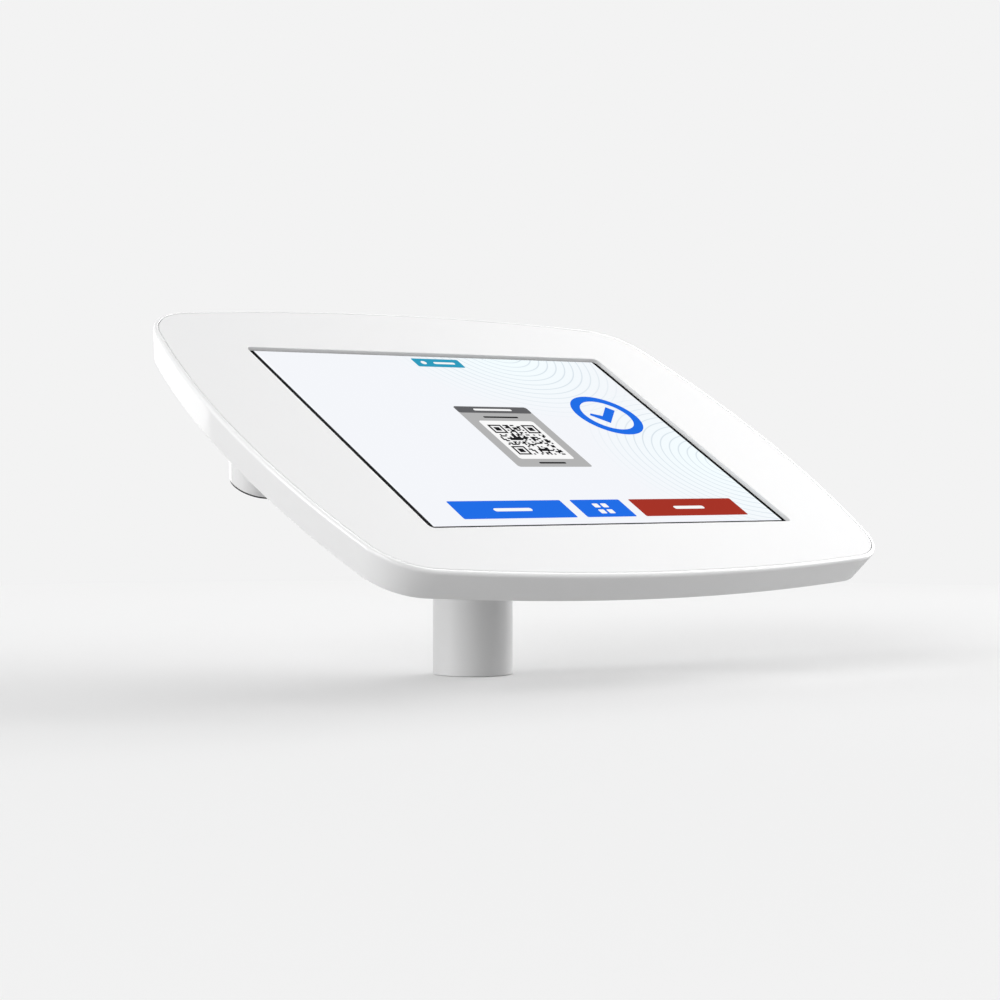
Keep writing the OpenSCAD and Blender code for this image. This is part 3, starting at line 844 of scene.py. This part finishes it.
@dataclass
class Screen:
    """Dark cover glass and the lit picture on it, in millimetres on the face."""

    plane: FacePlane
    glass_top: float = -2.1
    glass: float = 0.7
    glass_low: Point = (-122.6, -83.65)
    glass_high: Point = (125.6, 88.05)
    glass_corner: float = 7.8
    lit_low: Point = (-102.0, -76.5)
    lit_high: Point = (105.0, 80.7)
    rear_strip: float = 4.0
    home: Point = (116.1, 2.2)
    home_bore: float = 5.9
    layer: float = 0.02
    ripple_points: tuple[Point, ...] = ((48.0, 92.0), (112.0, -24.0))
    button_row: Point = (-71.0, -56.0)
    button_corner: float = 0.8
    blue_spans: tuple[Point, ...] = ((-81.8, -17.6), (-11.9, 17.6))
    red_span: Point = (23.4, 87.7)
    tag: Box = ((-13.0, 70.2), (15.6, 78.4))
    button_bars: tuple[Box, ...] = (
        ((-60.5, -65.0), (-39.0, -62.4)),
        ((46.0, -65.0), (65.0, -62.4)),
    )
    button_bar_round: float = 1.2
    tag_bar: Box = ((-1.5, 73.3), (11.5, 75.2))
    tag_bar_round: float = 0.9
    tag_dot: Point = (-7.5, 74.3)
    tag_dot_radius: float = 1.6
    square_columns: Point = (-1.3, 3.7)
    square_rows: Point = (-68.0, -62.8)
    square: float = 3.4
    square_round: float = 0.5
    card: Box = ((-19.7, -26.3), (24.9, 27.0))
    card_header: Box = ((-19.7, 24.4), (24.9, 30.5))
    card_round: float = 1.6
    card_field: Box = ((-13.7, -19.0), (19.3, 16.8))
    card_field_round: float = 1.5
    header_bar: Box = ((-9.0, 26.6), (14.0, 28.4))
    header_bar_round: float = 0.8
    card_bars: tuple[Box, ...] = (((-8.0, 19.6), (13.0, 21.0)), ((-5.0, -23.4), (11.0, -22.0)))
    card_bar_round: float = 0.6

    def build(self) -> None:
        """Builds the glass, the lit ground and each colour of the picture."""
        self.build_glass()
        self.build_ground()
        self.build_buttons()
        self.build_card()
        self.build_tick()

    def build_glass(self) -> None:
        """Builds the dark glass with its hole for the home key."""
        mesh = Builder()
        out = self.plane.at(0, 0, 1) - self.plane.at(0, 0, 0)
        levels = (self.glass_top - self.glass, self.glass_top)
        edge = round_box(self.glass_low, self.glass_high, self.glass_corner)
        edges = [mesh.loop(self.plane.loop(edge, w)) for w in levels]
        holes = [mesh.loop(self.plane.loop(circle(self.home, self.home_bore), w)) for w in levels]
        mesh.skins(edges)
        mesh.skins(holes)
        mesh.fill([edges[1], holes[1]], out)
        mesh.fill([edges[0], holes[0]], -out)
        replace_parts(mesh.piece("cover_glass", BORDER_GLASS, HEAD), "tablet_glass")

    def print_shapes(
        self,
        name: str,
        ink: Finish,
        level: int,
        shapes: Iterable[Sequence[Point]],
        lights_frame: bool = False,
    ) -> None:
        """Prints flat shapes of one colour on the glass.

        Args:
            name: Name of the piece.
            ink: Colour of the shapes.
            level: Layer above the glass, from 0.
            shapes: Outlines of the shapes.
            lights_frame: Whether the glow falls on the edge of the window.
        """
        mesh = Builder()
        low = self.glass_top + self.layer * level
        for shape in shapes:
            mesh.prism(self.plane.loop(shape, low), self.plane.loop(shape, low + self.layer))
        made = mesh.piece(name, ink, HEAD)
        made.visible_diffuse = lights_frame

    def build_ground(self) -> None:
        """Builds the pale ground of the picture, with rings from two points."""
        centres = tuple(self.plane.at(u, v, self.glass_top) for u, v in self.ripple_points)
        ink = RippleInk("ink_ground", (0.90, 0.915, 0.95), 0.5, specular=0.0, centres=centres)
        (left, low), (right, high) = self.lit_low, self.lit_high
        strip = high - self.rear_strip
        ground = [(left, low), (right, low), (right, strip), (left, strip)]
        self.print_shapes("screen_ground", ink, 0, [ground], lights_frame=True)
        rear = [(left, strip), (right, strip), (right, high), (left, high)]
        self.print_shapes("screen_ground_rear", ink, 0, [rear])

    def build_buttons(self) -> None:
        """Builds the row of three buttons, the tag above and their plain bars."""
        low, high = self.button_row
        blue = [round_box((a, low), (b, high), self.button_corner) for a, b in self.blue_spans]
        left, right = self.red_span
        red = round_box((left, low), (right, high), self.button_corner)
        self.print_shapes("screen_blue_buttons", INK_BLUE, 1, blue)
        self.print_shapes("screen_red_button", INK_RED, 1, [red])
        self.print_shapes("screen_tag", INK_TEAL, 1, [round_box(*self.tag, self.button_corner)])
        bars = [round_box(*bar, self.button_bar_round) for bar in self.button_bars]
        bars.append(round_box(*self.tag_bar, self.tag_bar_round))
        bars.append(circle(self.tag_dot, self.tag_dot_radius, 24))
        for u in self.square_columns:
            for v in self.square_rows:
                end = (u + self.square, v + self.square)
                bars.append(round_box((u, v), end, self.square_round))
        self.print_shapes("screen_white_bars", INK_WHITE, 2, bars)

    def build_card(self) -> None:
        """Builds the grey card with its header and a made-up pattern of blocks."""
        card = round_box(*self.card, self.card_round)
        header = round_box(*self.card_header, self.card_round)
        patch = round_box(*self.card_field, self.card_field_round)
        bar = round_box(*self.header_bar, self.header_bar_round)
        self.print_shapes("screen_card", INK_CARD, 1, [card])
        self.print_shapes("screen_card_header", INK_HEADER, 2, [header])
        self.print_shapes("screen_card_field", INK_WHITE, 2, [patch])
        self.print_shapes("screen_card_bar", INK_WHITE, 3, [bar])
        dark = [round_box(*line, self.card_bar_round) for line in self.card_bars]
        self.print_shapes("screen_code", INK_BLACK, 3, dark + self.code_blocks())

    @staticmethod
    def code_blocks(
        count: int = 25, low: Point = (-11.2, -15.1), size: float = 28.0
    ) -> list[list[Point]]:
        """Outlines of a made-up block pattern with a square mark in three corners.

        Args:
            count: Cells along each side.
            low: Lower left corner of the pattern.
            size: Length of each side.

        Returns:
            The outlines, one for each run of cells in a row.
        """
        cell = size / count
        far = count - MARK_CELLS
        marks = ((0, 0), (0, far), (far, far))
        by_column, by_row, spread = SCATTER

        def dark(column: int, row: int) -> bool:
            """Tells whether a cell is dark.

            Args:
                column: Place of the cell along its row.
                row: Place of the row.

            Returns:
                True for a dark cell.
            """
            for left, foot in marks:
                across, up = column - left, row - foot
                if -1 <= across <= MARK_CELLS and -1 <= up <= MARK_CELLS:
                    return max(abs(across - MARK_MIDDLE), abs(up - MARK_MIDDLE)) in MARK_RINGS
            wave = math.sin(by_column * column + by_row * row) * spread
            return wave - math.floor(wave) < DARK_SHARE

        made: list[list[Point]] = []
        for row in range(count):
            run = 0
            for column in range(count + 1):
                if column < count and dark(column, row):
                    run += 1
                    continue
                if run:
                    start, base = low[0] + (column - run) * cell, low[1] + row * cell
                    stop, top = low[0] + column * cell, base + cell
                    made.append([(start, base), (stop, base), (stop, top), (start, top)])
                run = 0
        return made

    def build_tick(
        self, centre: Point = (72.0, 24.0), radius: float = 19.0, stroke: float = 5.0
    ) -> None:
        """Builds a blue ring with a tick in it.

        Args:
            centre: Centre of the ring.
            radius: Outer radius of the ring.
            stroke: Width of the ring and the tick.
        """
        u, v = centre
        steps = 72
        turns = [2 * math.pi * n / steps for n in range(steps + 1)]
        ring = []
        for a, b in zip(turns, turns[1:]):
            ring.append([
                (u + r * math.cos(t), v + r * math.sin(t))
                for r, t in ((radius - stroke, a), (radius, a), (radius, b), (radius - stroke, b))
            ])
        half = stroke / math.sqrt(2)
        short, bend, bend_drop, bend_lift = 7.5, 1.5, 6.5, 0.5
        long, long_rise = 9.0, 5.0
        tick = [
            (u - short - half / 2, v + half / 2),
            (u - short - half, v),
            (u - bend - half / 2, v - bend_drop - half / 2 + bend_lift),
            (u + long, v + long_rise),
            (u + long - half, v + long_rise + half),
            (u - bend - half / 2, v - bend_drop + 1.5 * half + bend_lift),
        ]
        self.print_shapes("screen_tick", INK_BLUE, 1, ring + [tick])


# Studio


@dataclass(frozen=True)
class SoftBox:
    """One soft light: its place, power in watts, aim and two sides, in metres."""

    name: str
    place: Place
    power: float
    aim: Place = (0.0, 0.0, 0.1)
    sides: Point = (1.6, 1.2)
    gloss_only: bool = False

    def build(self) -> None:
        """Hangs the light."""
        lamp = bpy.data.lights.new(self.name, "AREA")
        lamp.shape = "RECTANGLE"
        lamp.size, lamp.size_y = self.sides
        lamp.energy = self.power
        made = bpy.data.objects.new(self.name, lamp)
        made.location = self.place
        way = Vector(self.aim) - Vector(self.place)
        made.rotation_euler = way.to_track_quat("-Z", "Y").to_euler()
        made.visible_camera = False
        made.visible_diffuse = not self.gloss_only
        bpy.context.scene.collection.objects.link(made)


@dataclass
class Studio:
    """Pale floor, soft lights, even surroundings and the camera."""

    backdrop: Color = (0.896, 0.896, 0.896)
    floor_color: Color = (0.9, 0.9, 0.9)
    bounce_color: Color = (0.5, 0.5, 0.5)
    paper_roughness: float = 0.5
    floor_half: float = 12.0
    floor_clear: Point = (0.25, 1.0)
    mirror_clear: Point = (0.83, 0.87)
    surround: float = 0.45
    eye: Place = (-0.75129, -0.94519, 0.09900)
    sight: Place = (0.63054, 0.77604, -0.01332)
    lens: float = 91.213
    sensor: float = 36.0
    lights: tuple[SoftBox, ...] = (
        SoftBox("right_low_light", (2.954, 0.0, 0.621), 19.0),
        SoftBox("right_high_light", (2.457, 0.0, 1.821), 14.0),
        SoftBox("right_back_light", (2.555, 1.191, 1.126), 44.0),
        SoftBox("right_front_light", (2.555, -1.191, 1.126), 25.0),
        SoftBox("front_light", (1.299, -2.25, 1.6), 5.0),
        SoftBox("left_front_light", (-2.555, -1.191, 1.126), 24.0),
        SoftBox("left_low_light", (-2.792, 1.016, 0.518), 36.0),
        SoftBox(
            "back_card", (0.28, 0.6, 0.18), 0.6, (0.28, 0.0, 0.18), (1.04, 0.36), gloss_only=True
        ),
        SoftBox(
            "high_card", (1.26, 0.75, 1.48), 7.0, (0.0, 0.0, 0.12), (1.4, 1.4), gloss_only=True
        ),
        SoftBox(
            "top_card", (0.85, -0.35, 2.0), 34.0, (0.85, -0.35, 0.0), (2.3, 1.9), gloss_only=True
        ),
    )

    def build(self) -> None:
        """Builds the whole studio."""
        bpy.context.scene.view_settings.view_transform = "Standard"
        self.build_floor()
        self.build_world()
        for light in self.lights:
            light.build()
        self.build_camera()

    @staticmethod
    def mirrored(shader: Shader) -> Value:
        """Marks rays that come by way of a gloss or through glass.

        Args:
            shader: Tree of the floor or of the world.

        Returns:
            One for such rays, and zero for others.
        """
        rays = ("Is Glossy Ray", "Is Transmission Ray")
        gloss, through = (shader.node("ShaderNodeLightPath", output=ray) for ray in rays)
        return gloss.most(through)

    @staticmethod
    def beyond(away: Value, start: float, stop: float) -> Value:
        """Share that rises from 0 to 1 between two distances."""
        return ((away - start) / (stop - start)).most(0.0).least(1.0)

    def build_floor(self) -> None:
        """Lays the floor, which runs out into the backdrop's colour around the object."""
        mesh = bpy.data.meshes.new("floor")
        half = self.floor_half
        corners = [(-half, -half, 0), (half, -half, 0), (half, half, 0), (-half, half, 0)]
        mesh.from_pydata(corners, [], [(0, 1, 2, 3)])
        paint = bpy.data.materials.new("floor_paper")
        paint.use_nodes = True
        shader = Shader(paint.node_tree)
        away = shader.node(
            "ShaderNodeVectorMath", {"operation": "LENGTH"}, {0: shader.place()}, output="Value"
        )
        paper = shader.node(
            "ShaderNodeBsdfDiffuse",
            None,
            {"Color": opaque(self.floor_color), "Roughness": self.paper_roughness},
        )
        haze = shader.node(
            "ShaderNodeEmission", None, {"Color": opaque(self.backdrop), "Strength": 1.0}
        )
        dull = shader.node("ShaderNodeBsdfDiffuse", None, {"Color": opaque(self.bounce_color)})
        far = self.mirrored(shader) * self.beyond(away, *self.mirror_clear)
        unseen = shader.node("ShaderNodeMixShader", None, {0: far, 1: dull, 2: haze})
        clear = self.beyond(away, *self.floor_clear)
        shown = shader.node("ShaderNodeMixShader", None, {0: clear, 1: paper, 2: haze})
        camera = shader.node("ShaderNodeLightPath", output="Is Camera Ray")
        ground = shader.node("ShaderNodeMixShader", None, {0: camera, 1: unseen, 2: shown})
        shader.node("ShaderNodeOutputMaterial", None, {"Surface": ground})
        mesh.materials.append(paint)
        floor = bpy.data.objects.new("floor", mesh)
        bpy.context.scene.collection.objects.link(floor)

    def build_world(self) -> None:
        """Sets the surroundings: the backdrop as it is seen, and an even light elsewhere."""
        world = bpy.data.worlds.new("studio")
        world.use_nodes = True
        shader = Shader(world.node_tree)
        even = (self.surround,) * 3
        camera = shader.node("ShaderNodeLightPath", output="Is Camera Ray")
        color = shader.mix(camera.most(self.mirrored(shader)), even, self.backdrop)
        light = shader.node("ShaderNodeBackground", None, {"Color": color, "Strength": 1.0})
        shader.node("ShaderNodeOutputWorld", None, {"Surface": light})
        bpy.context.scene.world = world

    def build_camera(self) -> None:
        """Sets the camera where the photograph was taken from."""
        camera = bpy.data.cameras.new("camera")
        camera.lens = self.lens
        camera.sensor_width = self.sensor
        made = bpy.data.objects.new("camera", camera)
        made.location = self.eye
        made.rotation_euler = Vector(self.sight).to_track_quat("-Z", "Y").to_euler()
        bpy.context.scene.collection.objects.link(made)
        bpy.context.scene.camera = made


def dress_nodes(nodes: dict[str, bpy.types.Object]) -> None:
    """Gives every carried-over node its finish.

    Args:
        nodes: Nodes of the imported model, by name.
    """
    for finish, names in NODE_FINISHES.items():
        paint = finish.material()
        for name in names:
            nodes[name].data.materials.clear()
            nodes[name].data.materials.append(paint)
            LOG.info("%s: %s", name, finish.name)


def main() -> None:
    """Builds the dressed kiosk and its studio."""
    logging.basicConfig(level=logging.INFO, format="%(name)s %(message)s")
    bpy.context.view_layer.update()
    plane = FacePlane()
    dress_nodes(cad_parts)
    Housing(plane).build()
    Post(plane).build()
    Screen(plane).build()
    Studio().build()


if __name__ == "__main__":
    main()
